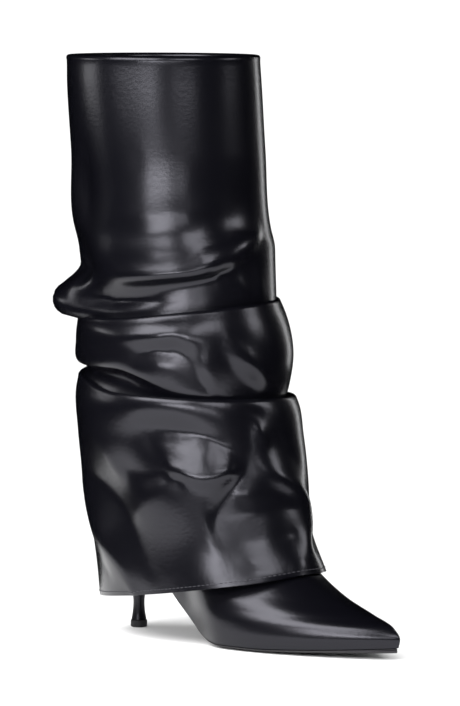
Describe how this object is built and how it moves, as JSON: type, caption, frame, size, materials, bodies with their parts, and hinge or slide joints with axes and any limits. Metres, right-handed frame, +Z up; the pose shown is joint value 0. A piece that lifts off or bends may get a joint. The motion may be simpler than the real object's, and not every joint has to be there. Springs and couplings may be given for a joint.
{
  "type": "slouch boot",
  "caption": "Slouch boot with a pointed toe, a slim heel and a wide soft shaft that folds down over itself.",
  "frame": {"origin": "on the floor under the middle of the heel tip", "axes": "+Z up, +X towards the toe, -Y to the outer side of the foot"},
  "size_m": [0.2676, 0.1229, 0.3553],
  "materials": {
    "smooth_leather": "smooth black leather with a soft semi-gloss and a very fine grain",
    "heel_leather": "the same black leather drawn tight over the heel block",
    "sole_resin": "black, lightly scuffed, satin",
    "tip_rubber": "hard black rubber, matt",
    "insole_sock": "thin dark lining leather, matt"
  },
  "bodies": {
    "root": {"outsole": "sole_resin", "heel": "heel_leather", "heel_tip": "tip_rubber", "insole": "insole_sock", "upper": "smooth_leather", "shaft_cover_outer": "smooth_leather", "shaft_cover_inner": "smooth_leather"}
  },
  "joints": []
}
